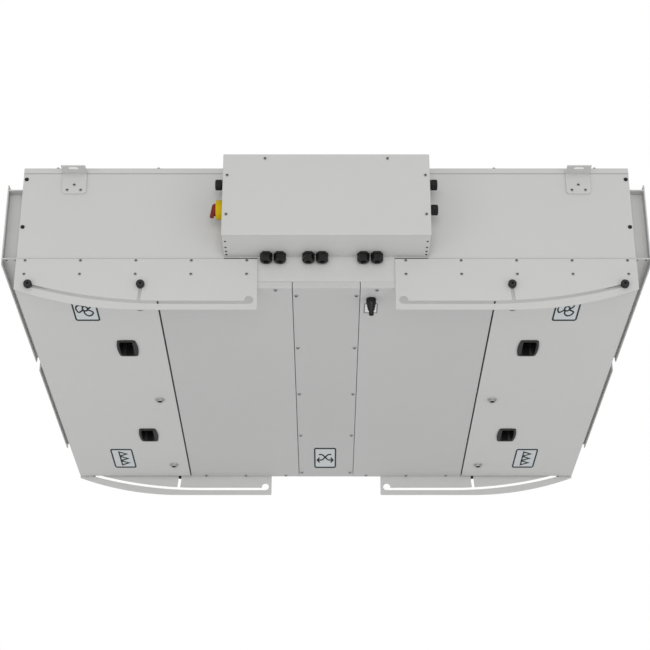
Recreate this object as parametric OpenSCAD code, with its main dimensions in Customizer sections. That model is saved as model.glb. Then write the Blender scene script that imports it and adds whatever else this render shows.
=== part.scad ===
// Ceiling-hung heat recovery air handling unit, in millimetres.
// +X runs along the casing's width, +Y from the front to the rear, +Z up.
// The origin is the centre of the four hanger slots, level with the brackets' top faces.
// Heights named in the sections below are measured up from the casing's underside.

/* [Casing] */
// Width of the casing over its end panels
casing_w = 1500; // [1440:10:1700]
// Thickness of the insulated casing panels
panel_t = 30; // [22:1:30]
// Height of the top panel's rim over the side panels
lid_rim = 16; // [8:1:18]
// Height of the layer of base panels and door pans
pan_h = 17.5; // [16:0.5:24]
// Width of the centre panel in the casing's base
centre_w = 162; // [140:2:200]
// Open seam between the centre panel and a base panel
seam_gap = 1.5; // [1:0.5:3]
// Length of the centre panel's wider end that closes the seams at the rear
seam_end = 20; // [10:1:30]
// Width of the beam beside each door
mullion_w = 40; // [30:1:60]
// Height of the beam beside each door
mullion_h = 45; // [30:1:80]

/* [Doors] */
// Width of a door bay from the casing's end to the middle of the door gap
door_bay = 339; // [320:1:350]
// Gap between a door and the base panel beside it
door_gap = 5.5; // [5.5:0.1:8]
// Gap between a door's front edge and the guide plate
door_edge_clear = 5; // [5:0.5:8]
// Room above a door's pan for its outer edge to rise
door_rise = 11; // [11:0.5:14]
// Height of the insulated core above a door's pan
core_h = 25; // [18:1:30]
// Clearance round the core of a door
core_clear = 8; // [8:0.5:12]
// Distance between the two handles of a door
handle_span = 582; // [400:1:640]
// Distance of the left door's handles from the casing's end
left_handle_inset = 239; // [220:0.5:250]
// Distance of the right door's handles from the casing's end
right_handle_inset = 230.5; // [220:0.5:250]
// Width of a handle's flange
handle_w = 54; // [50:1:62]
// Length of a handle's flange
handle_l = 91; // [90:1:120]
// How far a handle's long sides bulge at the middle
handle_bulge = 5; // [2:0.5:6]
// Radius of a handle's corners
handle_round = 13; // [4:0.5:14]
// Thickness of a handle's flange under the door
handle_flange_t = 3; // [2:0.5:4]
// Depth of a handle's cup above the door's underside
handle_depth = 30; // [24:1:32]
// Wall of a handle's cup
handle_wall = 2.5; // [2:0.5:3]
// Width of a handle's flange outside its cup
handle_lap = 3; // [2:0.5:5]
// Width of a handle's mouth
mouth_w = 35; // [24:1:36]
// Length of a handle's mouth
mouth_l = 78; // [66:1:80]
// How far a handle's mouth lies out of the middle towards the casing's end
mouth_out = 2.5; // [0:0.5:3]
// How far a handle's mouth lies out of the middle towards the rear
mouth_back = 1; // [0:0.5:3]
// Clearance of a handle's cup in the door
handle_fit = 0.3; // [0.2:0.1:0.6]
// Distance of the end locks from the front and rear faces
lock_end_inset = 100; // [80:1:140]
// Place of the middle lock behind the casing's centre
lock_mid_y = 39; // [0:1:60]
// Distance of the locks from the middle of the door gap
lock_inset = 45.5; // [30:0.5:50]
// Diameter of a lock's flange
lock_flange_d = 26; // [22:1:28]
// Diameter of a lock's body
lock_body_d = 18; // [16:1:19]
// Height of a lock's flange
lock_flange_h = 3; // [2:0.5:4]
// Height of a lock's whole body
lock_h = 7.5; // [7:0.5:14]
// Width of a lock's hexagon socket over its corners
lock_socket_d = 14; // [8:0.5:14]
// Depth of a lock's hexagon socket
lock_socket_depth = 6; // [3:0.5:6]

/* [Door guides] */
// Thickness of a guide plate
plate_t = 3; // [2:0.5:4]
// Length of a guide plate from the casing's end
plate_l = 584; // [570:1:600]
// Height of a guide plate's upper edge
plate_top = 78; // [70:1:82]
// How far a guide plate hangs below the casing
plate_drop = 59; // [54:1:64]
// Height of a guide plate's outer lower corner, below the casing
plate_end_drop = 4; // [3:0.5:8]
// Radius of a guide plate's inner lower corner
plate_corner_r = 4; // [2:0.5:8]
// Width of the guide slots
slot_w = 8.5; // [8:0.1:10]
// How far the long slot's straight run lies below the casing
slot_drop = 39.8; // [36:0.2:42]
// Length of the long slot's straight run, from the keyhole
slot_run = 202; // [160:1:220]
// Diameter of the keyhole where the pins leave the long slot
keyhole_d = 21.5; // [21:0.5:24]
// Distance of the keyhole from a guide plate's inner end
keyhole_inset = 19; // [16:0.5:24]
// Distance of a door's outer pin from the casing's end
pin_inset = 34; // [30:0.5:40]
// Distance between the two pins at one edge of a door
pin_span = 270; // [250:1:280]
// Height of the pins
pin_h = 6.8; // [5.5:0.1:9]
// Diameter of a pin's shank
pin_d = 7.5; // [6:0.1:7.6]
// Diameter of a pin's knob
knob_d = 20; // [16:0.5:20.5]
// Thickness of a pin's knob
knob_t = 10; // [7:0.5:12]
// Gap between a knob and the guide plate
knob_gap = 1.5; // [1:0.1:3]
// Diameter of the sunk ring in a knob's face
knob_ring_d = 15; // [12:0.5:16]
// Depth of the sunk ring in a knob's face
knob_ring_depth = 1.5; // [0.5:0.5:2.5]
// Diameter of the boss inside a knob's sunk ring
knob_boss_d = 9; // [8:0.5:11]
// Width of a knob's hexagon socket over its corners
knob_socket_d = 5; // [4:0.5:7]
// Depth of a knob's hexagon socket
knob_socket_depth = 5; // [3:0.5:6]
// Edge bevel of a knob
knob_bevel = 1.5; // [0.5:0.5:2]

/* [Duct collars] */
// Clear width of a duct
duct_w = 518; // [460:2:600]
// Clear height of a duct
duct_h = 190; // [170:2:220]
// Height of a duct's lower wall
duct_base = 98; // [94:1:98]
// Distance between the two collars in one end
collar_gap = 59; // [40:1:90]
// Distance of a collar from the casing's front or rear face
collar_inset = 29.5; // [24:0.5:50]
// How far a collar stands out from the casing
collar_depth = 43; // [30:1:60]
// Thickness of a collar's sheet
collar_t = 3; // [2:0.5:4]
// Height of a collar's upper and lower flanges
flange_h = 16; // [12:1:16]
// Width of a collar's front and rear flanges
flange_w = 24; // [18:1:25]

/* [Hangers] */
// Height of the casing's top above the hanger plane
hanger_drop = 16.5; // [14:0.5:30]
// Distance of a hanger's middle from the casing's end
hanger_inset = 127; // [100:1:160]
// Width of a hanger bracket
hanger_w = 60; // [50:1:80]
// Length of a hanger's upright leg
hanger_leg = 58; // [50:1:64]
// How far a hanger stands out from the casing
hanger_reach = 42; // [38:1:50]
// Thickness of a hanger
hanger_t = 3; // [2:0.5:5]
// Corner cut of a hanger's upright leg
hanger_corner = 5; // [4:1:14]
// Length of a hanger's slot
hanger_slot_l = 26; // [20:1:30]
// Width of a hanger's slot
hanger_slot_w = 11; // [9:0.5:13]
// Distance of a hanger's slot from the casing
hanger_slot_y = 29; // [27:0.5:30]

/* [Control box] */
// Width of the control box's cover
box_w = 498; // [440:2:560]
// Height of the control box's cover
box_h = 223; // [200:1:226]
// Depth of the control box
box_d = 112; // [100:1:130]
// Height of the control box's underside
box_base = 84; // [84:1:92]
// Thickness of the control box's sheet
box_wall = 2.5; // [1.5:0.5:4]
// How far the cover stands out round the control box
cover_lap = 1.5; // [0.5:0.5:3]
// Thickness of the control box's cover
cover_t = 3; // [2:0.5:5]
// Middle of each pair of lower cable glands
gland_pairs_x = [-128.5, -26.5, 105.75];
// Distance between the two glands of a pair
gland_span = 33; // [30:0.5:36]
// Distance of the lower glands from the casing's front
lower_gland_y = 15.5; // [15:0.5:40]
// Width of a cable gland over its corners
gland_d = 30; // [26:0.5:31]
// Height of a cable gland
gland_h = 22.5; // [16:0.5:24]
// Height of a cable gland's seat hexagon
gland_hex_h = 6; // [4:0.5:8]
// Height of the neck between a cable gland's hexagon and nut
gland_neck_h = 1.5; // [1:0.5:3]
// Diameter of a cable gland's neck
gland_neck_d = 21; // [18:0.5:23]
// Rounding at the end of a cable gland's nut
gland_round = 6; // [3:0.5:7]
// Bore of a cable gland
gland_bore_d = 13; // [8:0.5:14]
// Hole in the control box behind a cable gland
gland_hole_d = 20; // [18:0.5:22]
// Distance of the side glands and the switch from the casing's front
side_gland_y = 60; // [50:1:64]
// Height of the upper side glands above the control box's underside
side_gland_upper = 167; // [150:1:180]
// Height of the lower side gland and the switch above the control box's underside
side_gland_lower = 97; // [80:1:100]

/* [Isolator switch] */
// Diameter of the switch's round body
switch_d = 48; // [44:1:60]
// Thickness of the switch's round body
switch_t = 19; // [12:0.5:20]
// Edge bevel of the switch's round body
switch_bevel = 2; // [1:0.5:4]
// Diameter of the switch's turning disc
switch_disc_d = 30; // [26:1:36]
// Thickness of the switch's turning disc
switch_disc_t = 5; // [3:0.5:8]
// Width of the switch's grip
switch_grip_w = 11; // [8:0.5:14]
// Reach of the switch's grip above its axis
switch_grip_up = 12; // [8:0.5:12]
// Reach of the switch's grip below its axis
switch_grip_down = 20; // [14:0.5:21]
// Height of the switch's grip above its disc at the lower end
switch_grip_h = 8; // [6:0.5:12]
// Height of the switch's grip above its disc at the upper end
switch_grip_low = 2.5; // [1:0.5:5]
// Gap between the turning disc and the round body
switch_gap = 1; // [0.6:0.1:2]
// Diameter of the switch's spindle
spindle_d = 8; // [6:0.5:10]
// Clearance round the switch's spindle
spindle_clear = 0.3; // [0.2:0.05:0.5]
// Length of the switch's spindle inside the round body
spindle_l = 8; // [5:0.5:9]

/* [Drain] */
// Place of the drain to the right of the centre
drain_x = 109; // [105:1:200]
// Distance of the drain from the casing's front
drain_y = 58; // [45:1:100]
// Diameter of the drain's ribbed nut
drain_nut_d = 24; // [20:0.5:28]
// Number of grooves round the drain's nut
drain_grooves = 16; // [8:1:20]
// Width of a groove in the drain's nut
drain_groove_d = 2; // [1:0.5:2.5]
// Height of the drain's nut
drain_nut_h = 13; // [10:0.5:16]
// Diameters of the drain's barbs at their upper edges
drain_barb_ds = [21, 18.5, 16];
// How much a barb's diameter tapers
drain_barb_taper = 4; // [1:0.5:4]
// Height of a barb
drain_barb_h = 6.5; // [5:0.5:9]
// Diameter of the drain's tail
drain_tail_d = 12; // [11:0.5:14]
// Length of the drain's tail
drain_tail_l = 10.5; // [8:0.5:30]
// Bore of the drain
drain_bore_d = 8; // [6:0.5:9]

/* [Panel caps] */
// Diameter of a screw cap on the front and rear panels
cap_d = 11; // [9:0.5:14]
// How far a screw cap stands out
cap_t = 2; // [1:0.5:3]
// Distance of the screw caps from the casing's end
cap_inset = 8; // [7:0.5:20]
// Height of the lower screw caps
cap_low = 168; // [120:1:200]
// Distance of the upper screw caps from the casing's top
cap_drop = 32.5; // [28:0.5:60]

/* [Inside] */
// Depth of a filter
filter_t = 46; // [30:1:60]
// How far a filter reaches past its duct on each side
filter_lap = 15; // [8:1:15]
// Gap between a filter and the top panel
filter_room = 2.5; // [1:0.5:6]
// Width of a filter's frame
filter_rim = 18; // [16:1:24]
// Number of pleats in a filter
filter_pleats = 20; // [12:1:24]
// Thickness of the filter cloth
filter_cloth = 3; // [2:0.5:4]
// Diameter of a fan wheel
fan_d = 280; // [220:5:300]
// Diameter of a fan wheel's mouth
fan_mouth_d = 190; // [150:5:195]
// Height of a fan wheel's blades
fan_blade_h = 75; // [50:1:90]
// Number of blades
fan_blades = 7; // [5:1:9]
// Thickness of a fan's sheet
fan_sheet = 3; // [2:0.5:4]
// Diameter of a fan's motor
fan_motor_d = 110; // [90:1:130]
// Height of a fan's motor
fan_motor_h = 48; // [40:1:60]
// Distance of a fan's axis from the casing's end
fan_inset = 205; // [195:1:230]
// Gap between the heat exchanger and the front or rear panel
exchanger_side = 15; // [8:1:120]
// Length of each of the heat exchanger's wedge ends
exchanger_wedge = 200; // [120:5:260]
// Clearance between the heat exchanger and the beams
exchanger_clear = 8; // [4:1:20]

/* [Hidden] */
$fn = 64;

// Colours
paint = "#d2d1cb";
black = "#1d1d1f";
steel = "#8d8f92";
galvanised = "#aeb2b4";
yellow = "#f0c419";
red = "#c8261d";
cloth = "#e4e4dd";

// Main planes
collar_w = duct_w + 2 * flange_w;
duct_step = collar_w + collar_gap;
casing_d = 2 * collar_w + collar_gap + 2 * collar_inset;
casing_h = duct_base + duct_h + filter_lap + filter_room + panel_t;
half_w = casing_w / 2;
half_d = casing_d / 2;
top_z = hanger_drop;
base_z = top_z - casing_h;
inner_d = casing_d - 2 * panel_t;
ceiling_z = top_z - panel_t;
over = 1;

// Doors
split_x = half_w - door_bay;
door_in_x = split_x + door_gap / 2;
fixed_x = split_x - door_gap / 2;
door_half_d = half_d - door_edge_clear;
seat_h = pan_h + door_rise;
pin_out_x = half_w - pin_inset;
pin_in_x = pin_out_x - pin_span;
left_handle_x = half_w - left_handle_inset;
right_handle_x = half_w - right_handle_inset;
lock_x = split_x + lock_inset;
lock_ys = [-half_d + lock_end_inset, lock_mid_y, half_d - lock_end_inset];

// Guide plates
plate_in_x = half_w - plate_l;
keyhole_x = plate_in_x + keyhole_inset;
keyhole_z = -slot_drop - slot_w / 2 + keyhole_d / 2;
slot_bend_x = keyhole_x + slot_run;
slot_arc_r = arc_radius(pin_out_x - slot_bend_x, pin_h + slot_drop);
plate_arc_r = arc_radius(half_w - pin_in_x, plate_drop - plate_end_drop);

// Control box
box_front_y = -half_d - box_d;
tray_w = box_w - 2 * cover_lap;
tray_h = box_h - 2 * cover_lap;
tray_d = box_d - cover_t;
tray_z = base_z + box_base + cover_lap;
side_y = -half_d - side_gland_y;
gland_xs = [for (middle = gland_pairs_x, step = [-0.5, 0.5]) middle + step * gland_span];
upper_z = base_z + box_base + side_gland_upper;
lower_z = base_z + box_base + side_gland_lower;

// Radius of an arc that starts level and climbs by rise over run
function arc_radius(run, rise) = (run * run + rise * rise) / (2 * rise);

// Draws its children on the right, or mirrored on the left
module on_left(left) {
    mirror([left ? 1 : 0, 0, 0])
        children();
}

// Draws its children at the front, or mirrored at the rear
module at_rear(rear) {
    mirror([0, rear ? 1 : 0, 0])
        children();
}

// Turns a profile drawn in x and z into a plate whose outer face stands at out_y
module upright(out_y, thickness) {
    translate([0, out_y + thickness, 0])
        rotate([90, 0, 0])
            linear_extrude(thickness)
                children();
}

// Slot along x with round ends
module slot_profile(length, width) {
    square([length - width, width], center = true);
    for (end = [-1, 1])
        translate([end * (length - width) / 2, 0])
            circle(d = width);
}

// Rectangle with round corners
module rounded_profile(w, l, r) {
    square([w - 2 * r, l], center = true);
    square([w, l - 2 * r], center = true);
    for (x = [-1, 1], y = [-1, 1])
        translate([x * (w / 2 - r), y * (l / 2 - r)])
            circle(r);
}

// Outline of a handle, with round corners and two long sides that bulge outwards
module handle_profile(w, l) {
    r = (l * l / 4 + handle_bulge * handle_bulge) / (2 * handle_bulge);
    intersection() {
        rounded_profile(w, l, handle_round);
        translate([w / 2 - r, 0])
            circle(r, $fn = 96);
        translate([r - w / 2, 0])
            circle(r, $fn = 96);
    }
}

// Insulated top panel with a rim that covers the side panels
module top_panel() {
    color(paint) {
        translate([-half_w, -half_d, top_z - lid_rim])
            cube([casing_w, casing_d, lid_rim]);
        translate([-half_w + panel_t, -half_d + panel_t, ceiling_z])
            cube([casing_w - 2 * panel_t, inner_d, panel_t - lid_rim / 2]);
    }
}

// Front panel, cut back over the doors
module face_panel() {
    color(paint)
        difference() {
            translate([-half_w, -half_d, base_z + pan_h])
                cube([casing_w, panel_t, casing_h - pan_h - lid_rim]);
            for (left = [false, true])
                on_left(left)
                    translate([fixed_x, -half_d - over, base_z + pan_h - over])
                        cube([half_w - fixed_x + over, panel_t + 2 * over, door_rise + over]);
        }
}

module front_panel() {
    face_panel();
}

module rear_panel() {
    at_rear(true)
        face_panel();
}

// End panel with the two duct openings
module end_panel() {
    color(paint)
        difference() {
            translate([half_w - panel_t, -inner_d / 2, base_z + seat_h])
                cube([panel_t, inner_d, casing_h - lid_rim - seat_h]);
            for (side = [-1, 1])
                translate([half_w - panel_t - over, side * duct_step / 2 - duct_w / 2, base_z + duct_base])
                    cube([panel_t + 2 * over, duct_w, duct_h]);
        }
}

module left_end_panel() {
    on_left(true)
        end_panel();
}

module right_end_panel() {
    end_panel();
}

// Beam from front to rear that carries a base panel's outer edge
module mullion() {
    color(paint)
        translate([fixed_x - mullion_w, -inner_d / 2, base_z + pan_h])
            cube([mullion_w, inner_d, mullion_h]);
}

module left_mullion() {
    on_left(true)
        mullion();
}

module right_mullion() {
    mullion();
}

// Fixed base panel between the centre panel and a door
module base_panel() {
    in_x = centre_w / 2 + seam_gap;
    color(paint)
        translate([in_x, -half_d, base_z])
            cube([fixed_x - in_x, casing_d, pan_h]);
}

module left_base_panel() {
    on_left(true)
        base_panel();
}

module right_base_panel() {
    color(paint)
        difference() {
            base_panel();
            translate([drain_x, -half_d + drain_y, base_z - over])
                cylinder(d = drain_bore_d, h = pan_h + 2 * over);
        }
}

// Panel under the heat exchanger, with a wider end at the rear that closes its seams
module centre_panel() {
    end_w = centre_w + 2 * seam_gap;
    color(paint) {
        translate([-centre_w / 2, -half_d, base_z])
            cube([centre_w, casing_d, pan_h]);
        translate([-end_w / 2, half_d - seam_end, base_z])
            cube([end_w, seam_end, pan_h]);
    }
}

// Inspection door: a pan with an insulated core and two pockets for its handles
module door(handle_x) {
    core_in_x = fixed_x + core_clear;
    core_out_x = half_w - panel_t - core_clear;
    core_d = inner_d - 2 * core_clear;
    pocket_w = handle_w - 2 * handle_lap + 2 * handle_fit;
    pocket_l = handle_l - 2 * handle_lap + 2 * handle_fit;
    color(paint)
        difference() {
            union() {
                translate([door_in_x, -door_half_d, base_z])
                    cube([half_w - door_in_x, 2 * door_half_d, pan_h]);
                translate([core_in_x, -core_d / 2, base_z + pan_h / 2])
                    cube([core_out_x - core_in_x, core_d, pan_h / 2 + core_h]);
            }
            for (side = [-1, 1])
                translate([handle_x, side * handle_span / 2, base_z - over])
                    linear_extrude(handle_depth + handle_fit + over)
                        handle_profile(pocket_w, pocket_l);
        }
}

module left_door() {
    on_left(true)
        door(left_handle_x);
}

module right_door() {
    door(right_handle_x);
}

// Flush handle: a flange under the door, a cup inside it and a mouth between two bulged grips
module handle() {
    cup_w = handle_w - 2 * handle_lap;
    cup_l = handle_l - 2 * handle_lap;
    hollow_w = cup_w - 2 * handle_wall;
    hollow_l = cup_l - 2 * handle_wall;
    difference() {
        union() {
            translate([0, 0, -handle_flange_t])
                linear_extrude(handle_flange_t)
                    handle_profile(handle_w, handle_l);
            linear_extrude(handle_depth)
                handle_profile(cup_w, cup_l);
        }
        linear_extrude(handle_depth - handle_wall)
            handle_profile(hollow_w, hollow_l);
        translate([0, 0, -handle_flange_t - over])
            linear_extrude(handle_flange_t + 2 * over)
                intersection() {
                    handle_profile(hollow_w, hollow_l);
                    translate([mouth_out, mouth_back])
                        square([mouth_w, mouth_l], center = true);
                }
    }
}

module door_handles(handle_x) {
    color(black)
        for (side = [-1, 1])
            translate([handle_x, side * handle_span / 2, base_z])
                handle();
}

module left_door_handles() {
    on_left(true)
        door_handles(left_handle_x);
}

module right_door_handles() {
    door_handles(right_handle_x);
}

// Turn lock under a door, with a hexagon socket for its key
module turn_lock() {
    difference() {
        union() {
            translate([0, 0, -lock_flange_h])
                cylinder(d1 = lock_flange_d - lock_flange_h, d2 = lock_flange_d, h = lock_flange_h);
            translate([0, 0, -lock_h])
                cylinder(d = lock_body_d, h = lock_h);
        }
        translate([0, 0, -lock_h - over])
            cylinder(d = lock_socket_d, h = lock_socket_depth + over, $fn = 6);
    }
}

module door_locks() {
    color(steel)
        for (y = lock_ys)
            translate([lock_x, y, base_z])
                turn_lock();
}

module left_door_locks() {
    on_left(true)
        door_locks();
}

module right_door_locks() {
    door_locks();
}

// Pin that runs from a door's edge through a guide slot to a knob with a hexagon socket
module guide_pin() {
    knob_y = door_edge_clear + plate_t + knob_gap;
    rotate([90, 0, 0])
        difference() {
            union() {
                cylinder(d = pin_d, h = knob_y + over);
                translate([0, 0, knob_y])
                    cylinder(d = knob_d, h = knob_t - knob_bevel);
                translate([0, 0, knob_y + knob_t - knob_bevel])
                    cylinder(d1 = knob_d, d2 = knob_d - 2 * knob_bevel, h = knob_bevel);
            }
            translate([0, 0, knob_y + knob_t - knob_ring_depth])
                difference() {
                    cylinder(d = knob_ring_d, h = knob_ring_depth + over);
                    cylinder(d = knob_boss_d, h = knob_ring_depth + over);
                }
            translate([0, 0, knob_y + knob_t - knob_socket_depth])
                cylinder(d = knob_socket_d, h = knob_socket_depth + over, $fn = 6);
        }
}

module door_pins() {
    color(black)
        for (rear = [false, true], x = [pin_out_x, pin_in_x])
            at_rear(rear)
                translate([x, -door_half_d, base_z + pin_h])
                    guide_pin();
}

module left_door_pins() {
    on_left(true)
        door_pins();
}

module right_door_pins() {
    door_pins();
}

// Outline of a guide plate: straight along its inner part, then an arc up to the casing's end
module plate_outline() {
    plate_h = plate_top + plate_drop;
    difference() {
        union() {
            translate([plate_in_x, -plate_drop])
                square([pin_in_x - plate_in_x, plate_h]);
            intersection() {
                translate([pin_in_x, -plate_drop])
                    square([half_w - pin_in_x, plate_h]);
                translate([pin_in_x, plate_arc_r - plate_drop])
                    circle(plate_arc_r, $fn = 240);
            }
        }
        translate([plate_in_x, -plate_drop])
            difference() {
                square(plate_corner_r);
                translate([plate_corner_r, plate_corner_r])
                    circle(plate_corner_r);
            }
    }
}

// Long slot: a keyhole, a straight run and an arc that climbs to the outer pin
module long_slot() {
    translate([keyhole_x, keyhole_z])
        circle(d = keyhole_d);
    translate([keyhole_x, -slot_drop - slot_w / 2])
        square([slot_bend_x - keyhole_x, slot_w]);
    intersection() {
        translate([slot_bend_x, -plate_drop])
            square([pin_out_x - slot_bend_x, plate_drop + plate_top]);
        translate([slot_bend_x, slot_arc_r - slot_drop])
            difference() {
                circle(slot_arc_r + slot_w / 2, $fn = 240);
                circle(slot_arc_r - slot_w / 2, $fn = 240);
            }
    }
    translate([pin_out_x, pin_h])
        circle(d = slot_w);
}

// Branch slot: the arc that the inner pin follows when the door turns about its outer pin
module branch_slot() {
    intersection() {
        translate([plate_in_x, -slot_drop])
            square([pin_out_x - plate_in_x, slot_drop + pin_h]);
        translate([pin_out_x, pin_h])
            difference() {
                circle(pin_span + slot_w / 2, $fn = 240);
                circle(pin_span - slot_w / 2, $fn = 240);
            }
    }
    translate([pin_in_x, pin_h])
        circle(d = slot_w);
}

module guide_plate() {
    color(paint)
        translate([0, 0, base_z])
            upright(-half_d - plate_t, plate_t)
                difference() {
                    plate_outline();
                    long_slot();
                    branch_slot();
                }
}

module left_front_guide_plate() {
    on_left(true)
        guide_plate();
}

module right_front_guide_plate() {
    guide_plate();
}

module left_rear_guide_plate() {
    on_left(true)
        at_rear(true)
            guide_plate();
}

module right_rear_guide_plate() {
    at_rear(true)
        guide_plate();
}

// Duct collar: two flange frames joined by the four walls of the duct
module duct_collar() {
    frame_h = duct_h + 2 * flange_h;
    wall_w = duct_w + 2 * collar_t;
    color(paint)
        translate([half_w, -duct_step / 2, base_z + duct_base + duct_h / 2])
            difference() {
                union() {
                    for (x = [0, collar_depth - collar_t])
                        translate([x, -collar_w / 2, -frame_h / 2])
                            cube([collar_t, collar_w, frame_h]);
                    for (z = [-duct_h / 2 - collar_t, duct_h / 2])
                        translate([0, -collar_w / 2, z])
                            cube([collar_depth, collar_w, collar_t]);
                    translate([0, -wall_w / 2, -duct_h / 2 - collar_t])
                        cube([collar_depth, wall_w, duct_h + 2 * collar_t]);
                }
                translate([-over, -duct_w / 2, -duct_h / 2])
                    cube([collar_depth + 2 * over, duct_w, duct_h]);
            }
}

module left_front_duct_collar() {
    on_left(true)
        duct_collar();
}

module right_front_duct_collar() {
    duct_collar();
}

module left_rear_duct_collar() {
    on_left(true)
        at_rear(true)
            duct_collar();
}

module right_rear_duct_collar() {
    at_rear(true)
        duct_collar();
}

// Hanger bracket: an upright leg with cut corners and a level leg with a slot
module hanger() {
    color(paint)
        translate([half_w - hanger_inset, -half_d, 0]) {
            upright(-hanger_t, hanger_t)
                polygon([
                    [-hanger_w / 2, 0],
                    [hanger_w / 2, 0],
                    [hanger_w / 2, hanger_corner - hanger_leg],
                    [hanger_w / 2 - hanger_corner, -hanger_leg],
                    [hanger_corner - hanger_w / 2, -hanger_leg],
                    [-hanger_w / 2, hanger_corner - hanger_leg]
                ]);
            translate([0, 0, -hanger_t])
                linear_extrude(hanger_t)
                    difference() {
                        translate([-hanger_w / 2, -hanger_reach])
                            square([hanger_w, hanger_reach]);
                        translate([0, -hanger_slot_y])
                            slot_profile(hanger_slot_l, hanger_slot_w);
                    }
        }
}

module left_front_hanger() {
    on_left(true)
        hanger();
}

module right_front_hanger() {
    hanger();
}

module left_rear_hanger() {
    on_left(true)
        at_rear(true)
            hanger();
}

module right_rear_hanger() {
    at_rear(true)
        hanger();
}

// Control box's tray, open to the front, with a hole behind each cable gland
module control_box() {
    color(paint)
        difference() {
            translate([-tray_w / 2, -half_d - tray_d, tray_z])
                cube([tray_w, tray_d, tray_h]);
            translate([box_wall - tray_w / 2, -half_d - tray_d - over, tray_z + box_wall])
                cube([tray_w - 2 * box_wall, tray_d - box_wall + over, tray_h - 2 * box_wall]);
            for (x = gland_xs)
                translate([x, -half_d - lower_gland_y, tray_z - over])
                    cylinder(d = gland_hole_d, h = box_wall + 2 * over);
            for (place = [[-1, upper_z], [1, upper_z], [1, lower_z]])
                translate([place[0] * tray_w / 2, side_y, place[1]])
                    rotate([0, 90, 0])
                        cylinder(d = gland_hole_d, h = 2 * box_wall + 2 * over, center = true);
        }
}

module control_box_cover() {
    color(paint)
        translate([-box_w / 2, box_front_y, base_z + box_base])
            cube([box_w, cover_t, box_h]);
}

// Domed end of a cable gland, turned about Z
module gland_dome() {
    flat_r = gland_d / 2 - gland_round;
    rotate_extrude() {
        square([gland_d / 2, gland_h - gland_round]);
        square([flat_r, gland_h]);
        translate([flat_r, gland_h - gland_round])
            circle(gland_round);
    }
}

// Cable gland that points along +Z from its seat: a hexagon, a neck and a domed nut with a bore
module cable_gland() {
    nut_z = gland_hex_h + gland_neck_h;
    difference() {
        union() {
            cylinder(d = gland_d, h = gland_hex_h, $fn = 6);
            cylinder(d = gland_neck_d, h = nut_z + over);
            intersection() {
                gland_dome();
                translate([0, 0, nut_z])
                    cylinder(d = gland_d, h = gland_h - nut_z, $fn = 6);
            }
        }
        translate([0, 0, -over])
            cylinder(d = gland_bore_d, h = gland_h + 2 * over);
    }
}

module lower_cable_glands() {
    color(black)
        for (x = gland_xs)
            translate([x, -half_d - lower_gland_y, tray_z])
                rotate([180, 0, 0])
                    cable_gland();
}

module side_cable_glands() {
    color(black)
        for (place = [[-1, upper_z], [1, upper_z], [1, lower_z]])
            translate([place[0] * tray_w / 2, side_y, place[1]])
                rotate([0, place[0] * 90, 0])
                    cable_gland();
}

// Round body of the isolator switch on the control box's left side
module isolator_base() {
    rim_z = switch_t - switch_bevel;
    color(yellow)
        translate([-tray_w / 2, side_y, lower_z])
            rotate([0, -90, 0])
                difference() {
                    union() {
                        cylinder(d = switch_d, h = rim_z);
                        translate([0, 0, rim_z])
                            cylinder(d1 = switch_d, d2 = switch_d - 2 * switch_bevel, h = switch_bevel);
                    }
                    translate([0, 0, switch_t - spindle_l - over])
                        cylinder(d = spindle_d + 2 * spindle_clear, h = spindle_l + 2 * over);
                }
}

// Turning handle of the isolator switch: spindle, disc and a grip that rises towards its lower end
module isolator_handle() {
    color(red)
        translate([-tray_w / 2 - switch_t, side_y, lower_z])
            rotate([0, -90, 0]) {
                translate([0, 0, -spindle_l])
                    cylinder(d = spindle_d, h = spindle_l + switch_gap + over);
                translate([0, 0, switch_gap])
                    cylinder(d = switch_disc_d, h = switch_disc_t);
                translate([0, 0, switch_gap + switch_disc_t])
                    upright(-switch_grip_w / 2, switch_grip_w)
                        polygon([
                            [-switch_grip_down, -over],
                            [switch_grip_up, -over],
                            [switch_grip_up, switch_grip_low],
                            [-switch_grip_down, switch_grip_h]
                        ]);
            }
}

// Drain under the right base panel: a ribbed nut, barbs for wide hoses and a tail for a narrow one
module drain_stub() {
    tail_z = drain_nut_h + len(drain_barb_ds) * drain_barb_h;
    color(black)
        translate([drain_x, -half_d + drain_y, base_z])
            rotate([180, 0, 0])
                difference() {
                    union() {
                        linear_extrude(drain_nut_h)
                            difference() {
                                circle(d = drain_nut_d);
                                for (i = [0:drain_grooves - 1])
                                    rotate(360 * i / drain_grooves)
                                        translate([drain_nut_d / 2, 0])
                                            circle(d = drain_groove_d, $fn = 16);
                            }
                        for (i = [0:len(drain_barb_ds) - 1])
                            translate([0, 0, drain_nut_h + i * drain_barb_h])
                                cylinder(
                                    d1 = drain_barb_ds[i],
                                    d2 = drain_barb_ds[i] - drain_barb_taper,
                                    h = drain_barb_h
                                );
                        translate([0, 0, tail_z])
                            cylinder(d = drain_tail_d, h = drain_tail_l);
                    }
                    translate([0, 0, -over])
                        cylinder(d = drain_bore_d, h = tail_z + drain_tail_l + 2 * over);
                }
}

// Screw caps on the front and rear panels
module panel_caps() {
    color(black)
        for (rear = [false, true], side = [-1, 1], h = [cap_low, casing_h - cap_drop])
            at_rear(rear)
                translate([side * (half_w - cap_inset), -half_d, base_z + h])
                    rotate([90, 0, 0])
                        cylinder(d1 = cap_d, d2 = cap_d - cap_t, h = cap_t);
}

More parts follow.
